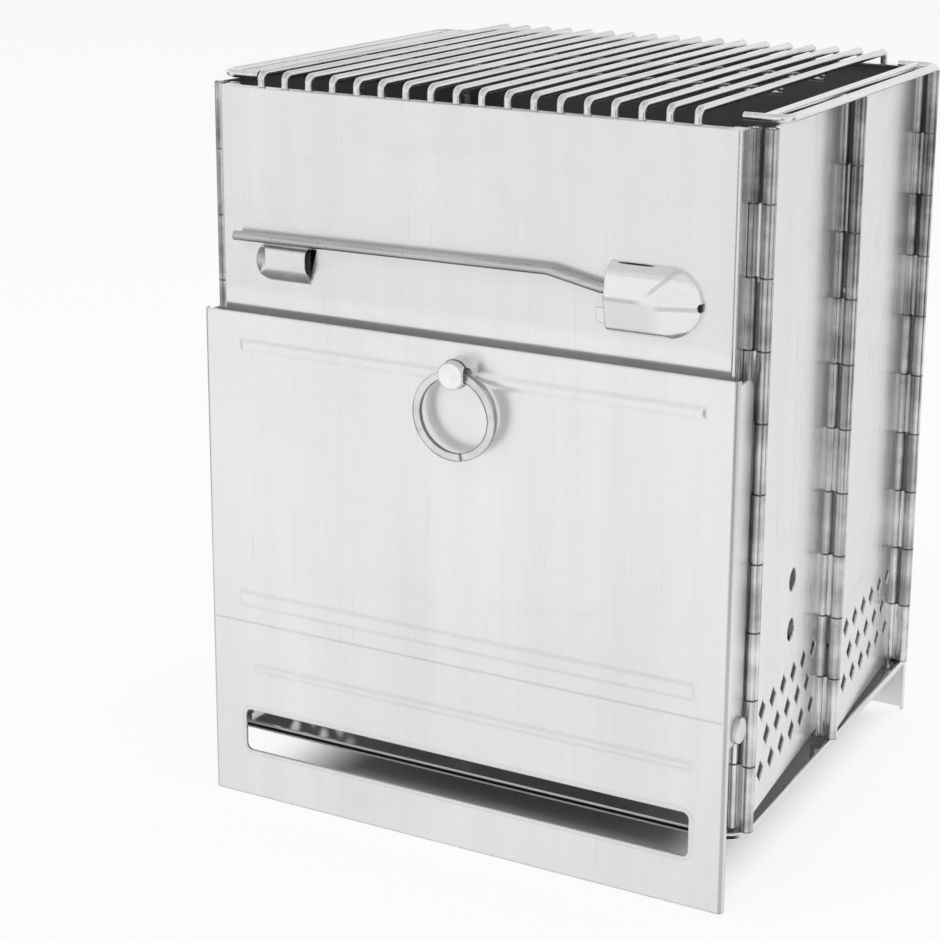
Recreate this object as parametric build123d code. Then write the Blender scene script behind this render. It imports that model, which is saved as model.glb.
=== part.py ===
from build123d import *
import math
import os

# Folding sheet-steel wood stove, standing ready for use.
# Millimetres. X runs across the front, Y from front to back, Z up from the ground.
# While building, y = 0 is the outer face of the front panel; every piece is shifted
# at the end so that the middle of the outline box lies on the Z axis.

# Sheet and wire
SHEET = 0.8
BEND_RADIUS = 2.0
HINGE_WIRE_DIA = 3.0
WIRE_RUNNING_CLEARANCE = 0.06
KNUCKLE_WALL = 0.8
KNUCKLE_BORE = HINGE_WIRE_DIA + 2 * WIRE_RUNNING_CLEARANCE
KNUCKLE_DIA = KNUCKLE_BORE + 2 * KNUCKLE_WALL

# Hinge columns: two upright wires side by side at each of three depths
FRONT_HALF_WIDTH = 101.5
FLANGE_TO_WIRE = 0.5
WIRE_PITCH = 5.8
INNER_WIRE_X = FRONT_HALF_WIDTH + FLANGE_TO_WIRE
OUTER_WIRE_X = INNER_WIRE_X + WIRE_PITCH
FRONT_COLUMN_Y = 10.5
HALF_PANEL_DEPTH = 87.0
MID_COLUMN_Y = FRONT_COLUMN_Y + HALF_PANEL_DEPTH
REAR_COLUMN_Y = MID_COLUMN_Y + HALF_PANEL_DEPTH
PANEL_TOP = 273.0
COLUMN_TOP = PANEL_TOP - 0.1
PAN_FLOOR_BOTTOM = 22.0
PAN_DEPTH = 2.8
PAN_RIM_TOP = PAN_FLOOR_BOTTOM + PAN_DEPTH
PAN_TO_COLUMN = 0.4
COLUMN_BOTTOM = PAN_RIM_TOP + PAN_TO_COLUMN
KNUCKLE_COUNT = 10
KNUCKLE_END_GAP = 0.3
KNUCKLE_NOTCH_RADIUS = 2.75
LINK_WEB = 1.6
WIRE_STAND_OUT = 0.0
WIRE_TOP = PANEL_TOP + WIRE_STAND_OUT
WIRE_TOP_CHAMFER = 0.6
LONG_WIRE_BOTTOM = PAN_FLOOR_BOTTOM
SHORT_WIRE_BOTTOM = COLUMN_BOTTOM

# Front panel
LIP_DEPTH = 5.0
FRONT_PANEL_BOTTOM = COLUMN_BOTTOM + 0.8
FRONT_SHEET_BOTTOM = 42.0
FRONT_LOW_FLANGE_Y = 3.4
WINDOW_SIDE_MARGIN = 16.5
WINDOW_HALF_WIDTH = FRONT_HALF_WIDTH - WINDOW_SIDE_MARGIN
WINDOW_BOTTOM = 48.0
WINDOW_TOP = 180.0
WINDOW_CORNER = 6.0
FRONT_LIP_BACK_END = 7.0

# Pocket that takes the right end of the latch rod
POCKET_MARGIN = 12.3
POCKET_LENGTH = 32.5
POCKET_TAPER = 13.7
POCKET_RIGHT = FRONT_HALF_WIDTH - POCKET_MARGIN
POCKET_LEFT = POCKET_RIGHT - POCKET_LENGTH
POCKET_TAPER_START = POCKET_RIGHT - POCKET_TAPER
POCKET_TOP = 225.8
POCKET_SHOULDER_Z = 222.6
POCKET_SHOULDER_OUT = 5.4
POCKET_RIDGE_Z = 213.8
POCKET_RIDGE_OUT = 6.8
POCKET_LOW_Z = 204.2
POCKET_LOW_OUT = 4.6
POCKET_BOTTOM = 201.7
POCKET_TIP_SCALE = 0.22
POCKET_LIP_LENGTH = 3.2
POCKET_LIP_TOP = 210.5

# Lance under the left end of the rod
LANCE_MARGIN = 16.9
LANCE_LENGTH = 21.7
LANCE_TAPER = 6.1
LANCE_LEFT = -FRONT_HALF_WIDTH + LANCE_MARGIN
LANCE_RIGHT = LANCE_LEFT + LANCE_LENGTH
LANCE_TAPER_START = LANCE_LEFT + LANCE_TAPER
LANCE_TOP = 217.0
LANCE_SHOULDER_Z = 215.4
LANCE_SHOULDER_OUT = 3.4
LANCE_FACE_Z = 209.5
LANCE_FACE_OUT = 3.7
LANCE_BOTTOM = 204.0
LANCE_TIP_SCALE = 0.35

# Latch rod
ROD_DIA = 3.5
ROD_Y = -3.0
ROD_LEFT = (-FRONT_HALF_WIDTH + 7.9, 219.1)
ROD_BEND_UPPER = (POCKET_LEFT - 22.8, 220.4)
ROD_BEND_LOWER = (POCKET_LEFT - 2.7, 216.4)
ROD_RIGHT = (POCKET_LEFT + 7.3, 216.0)
ROD_BEND_RADIUS = 9.0
ROD_END_CHAMFER = 0.5

# Rear panel
REAR_HALF_WIDTH = OUTER_WIRE_X - FLANGE_TO_WIRE
REAR_FACE_BEHIND_WIRE = 10.5
REAR_FACE_Y = REAR_COLUMN_Y + REAR_FACE_BEHIND_WIRE
REAR_LOW_FLANGE = 4.5
REAR_LOW_FLANGE_Y = REAR_FACE_Y - REAR_LOW_FLANGE
REAR_LIP_FRONT_END = REAR_COLUMN_Y + 4.0

# Side half panels
SIDE_TOP = COLUMN_TOP
SIDE_FRONT_BOTTOM = COLUMN_BOTTOM + 3.8
SIDE_REAR_BOTTOM = COLUMN_BOTTOM + 0.8
DIAMOND_WIDTH = 8.0
DIAMOND_HEIGHT = 8.5
DIAMOND_PITCH = 12.5
DIAMOND_ROW_Z = (65.5, 54.0, 42.5)
DIAMOND_ROW_COUNT = (6, 5, 6)
DIAMOND_FRONT_START_Y = FRONT_COLUMN_Y + 12.5
DIAMOND_REAR_START_Y = MID_COLUMN_Y + 13.7
AIR_HOLE_DIA = 8.5
AIR_HOLE_Y = FRONT_COLUMN_Y + 44.0
AIR_HOLE_Z = (103.3, 84.1)

# Beads pressed outward in the sheets
BEAD_HEIGHT = 1.0
BEAD_SLOPE = 1.6
REAR_BEADS = (
    (-REAR_HALF_WIDTH + 13.3, REAR_HALF_WIDTH - 13.3, 9.0, 15.0),
    (-REAR_HALF_WIDTH + 17.3, REAR_HALF_WIDTH - 17.3, 177.0, 182.0),
    (-REAR_HALF_WIDTH + 15.3, REAR_HALF_WIDTH - 15.3, 77.0, 84.0),
)

# Feed door
DOOR_SIDE_GAP = 3.7
DOOR_HALF_WIDTH = FRONT_HALF_WIDTH + DOOR_SIDE_GAP + SHEET
DOOR_FACE_Y = -6.0
DOOR_TOP = 191.3
DOOR_FLANGE_BACK_Y = 7.7
DOOR_FLANGE_TOP = DOOR_TOP - 1.3
DOOR_PIVOT_Z = 66.0
DOOR_FLANGE_BOTTOM = DOOR_PIVOT_Z + 7.0
DOOR_FLANGE_CORNER = 5.0
DOOR_LOW_FLANGE_Y = -3.5
DOOR_EAR_RADIUS = 4.9
DOOR_PIVOT_Y = 2.5
SLOT_LEFT = -DOOR_HALF_WIDTH + 15.0
SLOT_RIGHT = DOOR_HALF_WIDTH - 13.0
SLOT_BOTTOM = 18.8
SLOT_TOP = 35.6
SLOT_CORNER = 2.5
SLOT_BORDER = 1.4
SLOT_BORDER_HEIGHT = 0.5
DOOR_BEADS = (
    (-DOOR_HALF_WIDTH + 16.0, DOOR_HALF_WIDTH - 11.0, DOOR_TOP - 14.5, DOOR_TOP - 9.4),
    (-DOOR_HALF_WIDTH + 13.3, DOOR_HALF_WIDTH - 11.8, 77.0, 84.0),
    (-DOOR_HALF_WIDTH + 19.0, DOOR_HALF_WIDTH - 11.6, 51.0, 55.2),
)
CREASE_Z = 71.0
CREASE_HALF_HEIGHT = 0.45
CREASE_OUT = 0.3

# Door pivots
PIVOT_SHANK_DIA = 4.0
PIVOT_RUNNING_CLEARANCE = 0.06
PIVOT_HEAD_DIA = 9.6
PIVOT_HEAD_THICK = 1.8
PIVOT_HEAD_DOME = 0.9
PIVOT_HEAD_GAP = 0.1
PIVOT_TAIL_DIA = PIVOT_SHANK_DIA
PIVOT_TAIL_THICK = 1.0
SPACER_DIA = 7.5
SPACER_GAP = 0.1

# Knob and split ring
KNOB_X = 2.5
KNOB_Z = DOOR_TOP - 9.8
KNOB_SHOULDER_LENGTH = 4.9
KNOB_FRONT_LENGTH = 3.5
KNOB_SEAM_Y = DOOR_FACE_Y - KNOB_SHOULDER_LENGTH
KNOB_FRONT_Y = KNOB_SEAM_Y - KNOB_FRONT_LENGTH
KNOB_FRONT_DIA = 10.0
KNOB_SHOULDER_DIA = 10.8
KNOB_EDGE = 0.5
KNOB_SHANK_DIA = 4.0
KNOB_WASHER_DIA = 9.0
KNOB_WASHER_THICK = 0.8
KNOB_TAIL_DIA = 6.5
KNOB_TAIL_THICK = 0.8
SEAM_DEPTH = 0.3
SEAM_WIDTH = 0.3
RING_DIA = 32.6
RING_RADIAL = 2.8
RING_TURN = 1.3
RING_TURN_GAP = 0.2
RING_GROOVE_DEPTH = 0.9
RING_CLEARANCE = 0.35

# Base pan
PAN_HALF_WIDTH = OUTER_WIRE_X + 0.2
PAN_FRONT_Y = FRONT_COLUMN_Y - 5.5
PAN_REAR_Y = REAR_COLUMN_Y + 5.0
PAN_FRONT_CORNER = 9.0
PAN_REAR_CORNER = 2.0
PAN_WIRE_HOLE_DIA = 3.5

# Cooking grate
BAR_COUNT = 18
BAR_DIA = 2.9
BAR_SIDE_MARGIN = 16.6
BAR_FIRST_X = -FRONT_HALF_WIDTH + BAR_SIDE_MARGIN
BAR_PITCH = -2 * BAR_FIRST_X / (BAR_COUNT - 1)
BAR_TIP_Z = PANEL_TOP + 0.1
BAR_Z = PANEL_TOP + 4.8
BAR_END_MARGIN = 3.4
BAR_FRONT_Y = BAR_END_MARGIN
BAR_REAR_Y = REAR_FACE_Y - BAR_END_MARGIN
BAR_BEND_RADIUS = 2.2
CROSS_ROD_DIA = 2.5
CROSS_ROD_FROM_MIDDLE = 21.5
CROSS_ROD_Y = (MID_COLUMN_Y - CROSS_ROD_FROM_MIDDLE, MID_COLUMN_Y + CROSS_ROD_FROM_MIDDLE)
CROSS_ROD_HALF = -BAR_FIRST_X + 1.4

# Side wire frames on the top
FRAME_WIRE_DIA = 3.0
FRAME_INNER_DIA = 2.8
FRAME_GAP = 0.5
FRAME_Z = WIRE_TOP + FRAME_GAP + FRAME_WIRE_DIA / 2
FRAME_OUTER_X = OUTER_WIRE_X + 2.9
FRAME_INNER_X = INNER_WIRE_X + 0.5
FRAME_TIP_X = INNER_WIRE_X - 6.7
FRAME_FRONT_Y = FRONT_COLUMN_Y + 6.5
FRAME_REAR_Y = REAR_COLUMN_Y - 5.5
FRAME_CORNER = 5.0

FRONT_MOST_Y = KNOB_FRONT_Y
REAR_MOST_Y = REAR_FACE_Y + BEAD_HEIGHT
MIDDLE_Y = (FRONT_MOST_Y + REAR_MOST_Y) / 2

SEGMENT = (COLUMN_TOP - COLUMN_BOTTOM) / KNUCKLE_COUNT
OVERCUT = 2.0
RIGHT = 1
LEFT = -1
SIDES = {"right": RIGHT, "left": LEFT}
COLUMN_Y = {"front": FRONT_COLUMN_Y, "mid": MID_COLUMN_Y, "rear": REAR_COLUMN_Y}


def block(x0, x1, y0, y1, z0, z1):
    centre = Pos((x0 + x1) / 2, (y0 + y1) / 2, (z0 + z1) / 2)
    return centre * Box(abs(x1 - x0), abs(y1 - y0), abs(z1 - z0))


def upright(x, y, z0, z1, dia):
    return Pos(x, y, (z0 + z1) / 2) * Cylinder(dia / 2, z1 - z0)


def across(x0, x1, y, z, dia):
    return Pos((x0 + x1) / 2, y, z) * Rot(0, 90, 0) * Cylinder(dia / 2, abs(x1 - x0))


def along_y(x, y0, y1, z, dia):
    return Pos(x, (y0 + y1) / 2, z) * Rot(90, 0, 0) * Cylinder(dia / 2, abs(y1 - y0))


def yz_prism(points, x0, x1):
    face = make_face(Polyline([(x0, y, z) for y, z in points], close=True))
    return extrude(face, amount=abs(x1 - x0), dir=(math.copysign(1, x1 - x0), 0, 0))


def xz_prism(points, y0, y1):
    face = make_face(Polyline([(x, y0, z) for x, z in points], close=True))
    return extrude(face, amount=abs(y1 - y0), dir=(0, math.copysign(1, y1 - y0), 0))


def yz_loft(points_a, xa, points_b, xb):
    face_a = make_face(Polyline([(xa, y, z) for y, z in points_a], close=True))
    face_b = make_face(Polyline([(xb, y, z) for y, z in points_b], close=True))
    return loft([face_a, face_b])


def segment_span(index):
    top = COLUMN_TOP - index * SEGMENT
    return top - SEGMENT, top


def own_segments():
    # The first, third, fifth, seventh and ninth knuckle from the top belong to the panels
    return [segment_span(i) for i in range(0, KNUCKLE_COUNT, 2)]


def link_segments():
    return [segment_span(i) for i in range(1, KNUCKLE_COUNT, 2)]


def knuckles(x, y):
    inset = KNUCKLE_END_GAP / 2
    return [upright(x, y, z0 + inset, z1 - inset, KNUCKLE_DIA) for z0, z1 in own_segments()]


def bore(x, y):
    return upright(x, y, COLUMN_BOTTOM - OVERCUT, COLUMN_TOP + OVERCUT, KNUCKLE_BORE)


def link_notches(x, y):
    # Round clearance in a sheet for each link between two panels' knuckles
    grow = KNUCKLE_END_GAP / 2
    cuts = []
    for z0, z1 in link_segments():
        low = z0 - grow
        if z0 <= COLUMN_BOTTOM + grow:
            low = z0 - OVERCUT
        cuts.append(upright(x, y, low, z1 + grow, 2 * KNUCKLE_NOTCH_RADIUS))
    return cuts


def bead(x0, x1, z0, z1, face_y, outward):
    # A long pressed bead with sloping sides, hollow behind
    def frustum(base_y, inset):
        rise = outward * BEAD_HEIGHT
        length = x1 - x0 - 2 * inset
        width = z1 - z0 - 2 * inset
        centre = ((x0 + x1) / 2, base_y, (z0 + z1) / 2)
        base = Plane(origin=centre, x_dir=(1, 0, 0), z_dir=(0, outward, 0))
        top = base.offset(BEAD_HEIGHT)
        return loft([
            base * Rectangle(length, width),
            top * Rectangle(length - 2 * BEAD_SLOPE, width - 2 * BEAD_SLOPE),
        ]), rise

    outer, _ = frustum(face_y, 0)
    inner, _ = frustum(face_y - outward * SHEET, SHEET / 4)
    return outer, inner


def pressed_sheet(sheet, beads, face_y, outward):
    for x0, x1, z0, z1 in beads:
        outer, inner = bead(x0, x1, z0, z1, face_y, outward)
        sheet = sheet + outer
        sheet = sheet - inner
    return sheet


def channel(half_width, face_y, back_y, z0, z1):
    # Flat sheet with both sides bent back, rounded on its two bends
    inward = math.copysign(1, back_y - face_y)
    outer = block(-half_width, half_width, face_y, back_y, z0, z1)
    inner = block(
        -half_width + SHEET,
        half_width - SHEET,
        face_y + inward * SHEET,
        back_y + inward * OVERCUT,
        z0 - OVERCUT,
        z1 + OVERCUT,
    )

    def bend_edges(solid, y):
        return [e for e in solid.edges().filter_by(Axis.Z) if abs(e.center().Y - y) < SHEET / 2]

    outer = fillet(bend_edges(outer, face_y), BEND_RADIUS)
    inner = fillet(bend_edges(inner, face_y + inward * SHEET), BEND_RADIUS - SHEET)
    return outer, outer - inner


def top_lip(outer, half_width, face_y, lip_y, side_y):
    # The top edge turned inward along the face and round both corners
    inward = math.copysign(1, lip_y - face_y)
    slab = outer & block(-half_width, half_width, face_y, side_y, PANEL_TOP - SHEET, PANEL_TOP)
    hole = block(
        -half_width + LIP_DEPTH,
        half_width - LIP_DEPTH,
        lip_y,
        side_y + inward * OVERCUT,
        PANEL_TOP - OVERCUT,
        PANEL_TOP + OVERCUT,
    )
    return slab - hole


def pocket_section(inset, scale):
    points = [
        (0, POCKET_TOP - inset),
        (-POCKET_SHOULDER_OUT + inset, POCKET_SHOULDER_Z - inset / 2),
        (-POCKET_RIDGE_OUT + inset, POCKET_RIDGE_Z),
        (-POCKET_LOW_OUT + inset, POCKET_LOW_Z + inset / 2),
        (0, POCKET_BOTTOM + inset),
    ]
    return [(y * scale, POCKET_RIDGE_Z + (z - POCKET_RIDGE_Z) * scale) for y, z in points]


def lance_section(inset, scale):
    points = [
        (0, LANCE_TOP - inset),
        (-LANCE_SHOULDER_OUT + inset, LANCE_SHOULDER_Z - inset / 2),
        (-LANCE_FACE_OUT + inset, LANCE_FACE_Z),
        (0, LANCE_BOTTOM + inset * 2),
    ]
    return [(y * scale, LANCE_FACE_Z + (z - LANCE_FACE_Z) * scale) for y, z in points]


def pressed_keeper(section, open_x, taper_x, tip_x, tip_scale, overhang):
    # A blister pushed out of the sheet, open at one end and tapered at the other
    step = math.copysign(1, tip_x - open_x)
    outer = yz_prism(section(0, 1), open_x, taper_x)
    outer = outer + yz_loft(section(0, 1), taper_x, section(0, tip_scale), tip_x)
    inner = yz_prism(section(SHEET, 1), open_x - step * overhang, taper_x)
    tip_inner_x = tip_x - step * SHEET
    inner = inner + yz_loft(section(SHEET, 1), taper_x, section(SHEET, tip_scale), tip_inner_x)
    return outer, inner


def make_front_panel():
    outer, shell = channel(FRONT_HALF_WIDTH, 0, FRONT_COLUMN_Y, FRONT_PANEL_BOTTOM, PANEL_TOP)
    panel = shell + top_lip(outer, FRONT_HALF_WIDTH, 0, LIP_DEPTH, FRONT_LIP_BACK_END)
    panel = panel - block(
        -FRONT_HALF_WIDTH - OVERCUT,
        FRONT_HALF_WIDTH + OVERCUT,
        -OVERCUT,
        FRONT_LOW_FLANGE_Y,
        FRONT_PANEL_BOTTOM - OVERCUT,
        FRONT_SHEET_BOTTOM,
    )
    window = block(
        -WINDOW_HALF_WIDTH, WINDOW_HALF_WIDTH, -OVERCUT, OVERCUT, WINDOW_BOTTOM, WINDOW_TOP
    )
    panel = panel - fillet(window.edges().filter_by(Axis.Y), WINDOW_CORNER)
    for side in (RIGHT, LEFT):
        x = side * INNER_WIRE_X
        # Above the top knuckle the flange stops short of the wire
        panel = panel - upright(x, FRONT_COLUMN_Y, COLUMN_TOP, PANEL_TOP + OVERCUT, KNUCKLE_DIA)
        panel = panel - link_notches(x, FRONT_COLUMN_Y)
        panel = panel + knuckles(x, FRONT_COLUMN_Y)
        panel = panel - bore(x, FRONT_COLUMN_Y)
        flange_x = side * (FRONT_HALF_WIDTH + SHEET)
        hole_dia = PIVOT_SHANK_DIA
        panel = panel - across(
            flange_x, flange_x - side * 4 * SHEET, DOOR_PIVOT_Y, DOOR_PIVOT_Z, hole_dia
        )
    # Keepers for the latch rod, with the sheet open behind them
    keeper, hollow = pressed_keeper(
        pocket_section, POCKET_LEFT, POCKET_TAPER_START, POCKET_RIGHT, POCKET_TIP_SCALE, OVERCUT
    )
    panel = panel + keeper - hollow
    slot = xz_prism(
        [(x, z) for x, z in (
            (POCKET_LEFT, POCKET_BOTTOM + SHEET),
            (POCKET_TAPER_START, POCKET_BOTTOM + SHEET),
            (POCKET_RIGHT - 2 * SHEET, POCKET_RIDGE_Z),
            (POCKET_TAPER_START, POCKET_TOP - SHEET),
            (POCKET_LEFT, POCKET_TOP - SHEET),
        )],
        0,
        SHEET + OVERCUT,
    )
    panel = panel - slot
    # The lower left edge of the pocket runs on as a short lip
    lean = (POCKET_RIDGE_OUT - POCKET_LOW_OUT) / (POCKET_RIDGE_Z - POCKET_LOW_Z)
    lip_low = POCKET_LOW_Z + SHEET
    out_low = -POCKET_LOW_OUT - (lip_low - POCKET_LOW_Z) * lean
    out_top = -POCKET_LOW_OUT - (POCKET_LIP_TOP - POCKET_LOW_Z) * lean
    lip = yz_prism(
        [
            (out_low, lip_low),
            (out_top, POCKET_LIP_TOP),
            (out_top + SHEET, POCKET_LIP_TOP),
            (out_low + SHEET, lip_low),
        ],
        POCKET_LEFT - POCKET_LIP_LENGTH,
        POCKET_LEFT + SHEET,
    )
    panel = panel + lip
    keeper, hollow = pressed_keeper(
        lance_section, LANCE_RIGHT, LANCE_TAPER_START, LANCE_LEFT, LANCE_TIP_SCALE, OVERCUT
    )
    panel = panel + keeper - hollow
    slot = xz_prism(
        [
            (LANCE_RIGHT, LANCE_BOTTOM + 2 * SHEET),
            (LANCE_TAPER_START, LANCE_BOTTOM + 2 * SHEET),
            (LANCE_LEFT + 2 * SHEET, LANCE_FACE_Z),
            (LANCE_TAPER_START, LANCE_TOP - SHEET),
            (LANCE_RIGHT, LANCE_TOP - SHEET),
        ],
        0,
        SHEET + OVERCUT,
    )
    return panel - slot


def make_rear_panel():
    outer, shell = channel(REAR_HALF_WIDTH, REAR_FACE_Y, REAR_COLUMN_Y, 0, PANEL_TOP)
    lip_y = REAR_FACE_Y - LIP_DEPTH
    panel = shell + top_lip(outer, REAR_HALF_WIDTH, REAR_FACE_Y, lip_y, REAR_LIP_FRONT_END)
    # Below the hinge columns only a narrow flange stiffens the foot
    panel = panel - block(
        -REAR_HALF_WIDTH - OVERCUT,
        REAR_HALF_WIDTH + OVERCUT,
        REAR_COLUMN_Y - OVERCUT,
        REAR_LOW_FLANGE_Y,
        -OVERCUT,
        COLUMN_BOTTOM,
    )
    for side in (RIGHT, LEFT):
        x = side * OUTER_WIRE_X
        panel = panel - upright(x, REAR_COLUMN_Y, COLUMN_TOP, PANEL_TOP + OVERCUT, KNUCKLE_DIA)
        panel = panel - link_notches(x, REAR_COLUMN_Y)
        panel = panel + knuckles(x, REAR_COLUMN_Y)
        panel = panel - bore(x, REAR_COLUMN_Y)
    return pressed_sheet(panel, REAR_BEADS, REAR_FACE_Y, 1)


def side_half(side, start, end, bottom, first_y, holes):
    # A flat half panel between two hinge wires, given by their x and y on the right
    sx, sy = start
    ex, ey = end
    length = math.hypot(ex - sx, ey - sy)
    turn = math.degrees(math.atan2(ey - sy, ex - sx))
    place = Pos(sx, sy, 0) * Rot(0, 0, turn)
    stretch = length / (ey - sy)

    def local_block(u0, u1, w0, w1, z0, z1):
        return place * block(u0, u1, w0, w1, z0, z1)

    panel = local_block(0, length, -SHEET / 2, SHEET / 2, bottom, SIDE_TOP)
    cuts = []
    for row, z in enumerate(DIAMOND_ROW_Z):
        count = DIAMOND_ROW_COUNT[row]
        shift = (max(DIAMOND_ROW_COUNT) - count) * DIAMOND_PITCH / 2
        for k in range(count):
            u = (first_y + shift + k * DIAMOND_PITCH - sy) * stretch
            rhombus = [
                (u - DIAMOND_WIDTH / 2, z),
                (u, z - DIAMOND_HEIGHT / 2),
                (u + DIAMOND_WIDTH / 2, z),
                (u, z + DIAMOND_HEIGHT / 2),
            ]
            cuts.append(place * xz_prism(rhombus, -OVERCUT, OVERCUT))
    for z in holes:
        u = (AIR_HOLE_Y - sy) * stretch
        cuts.append(place * along_y(u, -OVERCUT, OVERCUT, z, AIR_HOLE_DIA))
    panel = panel - cuts
    for x, y in (start, end):
        panel = panel - link_notches(x, y)
        panel = panel + knuckles(x, y)
        panel = panel - bore(x, y)
    if side == LEFT:
        panel = mirror(panel, about=Plane.YZ)
    return panel


def make_side_front(side):
    start = (OUTER_WIRE_X, FRONT_COLUMN_Y)
    end = (INNER_WIRE_X, MID_COLUMN_Y)
    return side_half(side, start, end, SIDE_FRONT_BOTTOM, DIAMOND_FRONT_START_Y, AIR_HOLE_Z)


def make_side_rear(side):
    start = (OUTER_WIRE_X, MID_COLUMN_Y)
    end = (INNER_WIRE_X, REAR_COLUMN_Y)
    return side_half(side, start, end, SIDE_REAR_BOTTOM, DIAMOND_REAR_START_Y, ())


def make_links(side, y):
    # Five double knuckles that hold the two wires of one column side by side
    inset = KNUCKLE_END_GAP / 2
    inner = side * INNER_WIRE_X
    outer = side * OUTER_WIRE_X
    links = []
    for z0, z1 in link_segments():
        low = z0 + inset
        if z0 <= COLUMN_BOTTOM + inset:
            low = z0
        high = z1 - inset
        link = upright(inner, y, low, high, KNUCKLE_DIA)
        link = link + upright(outer, y, low, high, KNUCKLE_DIA)
        link = link + block(
            min(inner, outer), max(inner, outer), y - LINK_WEB / 2, y + LINK_WEB / 2, low, high
        )
        link = link - upright(inner, y, low - OVERCUT, high + OVERCUT, KNUCKLE_BORE)
        link = link - upright(outer, y, low - OVERCUT, high + OVERCUT, KNUCKLE_BORE)
        links.append(link)
    return Compound(children=links)


def make_wire(x, y, bottom):
    wire = upright(x, y, bottom, WIRE_TOP, HINGE_WIRE_DIA)
    return chamfer(wire.edges().group_by(Axis.Z)[-1], WIRE_TOP_CHAMFER)


def make_door():
    outer, shell = channel(DOOR_HALF_WIDTH, DOOR_FACE_Y, DOOR_FLANGE_BACK_Y, 0, DOOR_TOP)
    low_profile = [
        (DOOR_LOW_FLANGE_Y, -OVERCUT),
        (DOOR_FLANGE_BACK_Y + OVERCUT, -OVERCUT),
        (DOOR_FLANGE_BACK_Y + OVERCUT, DOOR_FLANGE_BOTTOM),
        (DOOR_LOW_FLANGE_Y, DOOR_FLANGE_BOTTOM),
    ]
    wide = DOOR_HALF_WIDTH + OVERCUT
    door = shell - yz_prism(low_profile, -wide, wide)
    door = door - block(
        -wide, wide, DOOR_LOW_FLANGE_Y, DOOR_FLANGE_BACK_Y + OVERCUT, DOOR_FLANGE_TOP, DOOR_TOP
    )
    corner = block(
        -wide,
        wide,
        DOOR_FLANGE_BACK_Y - DOOR_FLANGE_CORNER,
        DOOR_FLANGE_BACK_Y + OVERCUT,
        DOOR_FLANGE_TOP - DOOR_FLANGE_CORNER,
        DOOR_TOP,
    )
    corner = corner - across(
        -wide,
        wide,
        DOOR_FLANGE_BACK_Y - DOOR_FLANGE_CORNER,
        DOOR_FLANGE_TOP - DOOR_FLANGE_CORNER,
        2 * DOOR_FLANGE_CORNER,
    )
    door = door - corner
    for side in (RIGHT, LEFT):
        x_out = side * DOOR_HALF_WIDTH
        x_in = side * (DOOR_HALF_WIDTH - SHEET)
        ear = across(x_in, x_out, DOOR_PIVOT_Y, DOOR_PIVOT_Z, 2 * DOOR_EAR_RADIUS)
        ear = ear + block(
            min(x_in, x_out),
            max(x_in, x_out),
            DOOR_LOW_FLANGE_Y - SHEET,
            DOOR_PIVOT_Y,
            DOOR_PIVOT_Z - DOOR_EAR_RADIUS,
            DOOR_PIVOT_Z + DOOR_EAR_RADIUS,
        )
        ear = ear + block(
            min(x_in, x_out),
            max(x_in, x_out),
            DOOR_LOW_FLANGE_Y - SHEET,
            DOOR_PIVOT_Y + DOOR_EAR_RADIUS,
            DOOR_PIVOT_Z,
            DOOR_FLANGE_BOTTOM + SHEET,
        )
        door = door + ear
        pivot_hole = PIVOT_SHANK_DIA + 2 * PIVOT_RUNNING_CLEARANCE
        door = door - across(
            x_in - side * SHEET, x_out + side * SHEET, DOOR_PIVOT_Y, DOOR_PIVOT_Z, pivot_hole
        )
    # Formed border round the air slot, then the slot itself
    border = block(
        SLOT_LEFT - SLOT_BORDER,
        SLOT_RIGHT + SLOT_BORDER,
        DOOR_FACE_Y - SLOT_BORDER_HEIGHT,
        DOOR_FACE_Y + SHEET / 2,
        SLOT_BOTTOM - SLOT_BORDER,
        SLOT_TOP + SLOT_BORDER,
    )
    border = fillet(border.edges().filter_by(Axis.Y), SLOT_CORNER + SLOT_BORDER)
    front_edges = border.faces().sort_by(Axis.Y)[0].edges()
    door = door + chamfer(front_edges, SLOT_BORDER_HEIGHT * SHEET)
    slot = block(
        SLOT_LEFT, SLOT_RIGHT, DOOR_FACE_Y - OVERCUT, DOOR_FACE_Y + OVERCUT, SLOT_BOTTOM, SLOT_TOP
    )
    door = door - fillet(slot.edges().filter_by(Axis.Y), SLOT_CORNER)
    # Fine crease across the whole width
    crease = yz_prism(
        [
            (DOOR_FACE_Y + SHEET / 2, CREASE_Z - CREASE_HALF_HEIGHT),
            (DOOR_FACE_Y - CREASE_OUT, CREASE_Z),
            (DOOR_FACE_Y + SHEET / 2, CREASE_Z + CREASE_HALF_HEIGHT),
        ],
        -DOOR_HALF_WIDTH + BEND_RADIUS,
        DOOR_HALF_WIDTH - BEND_RADIUS,
    )
    door = door + crease
    door = pressed_sheet(door, DOOR_BEADS, DOOR_FACE_Y, -1)
    return door - along_y(KNOB_X, DOOR_FACE_Y - OVERCUT, 0, KNOB_Z, KNOB_SHANK_DIA)


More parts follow.
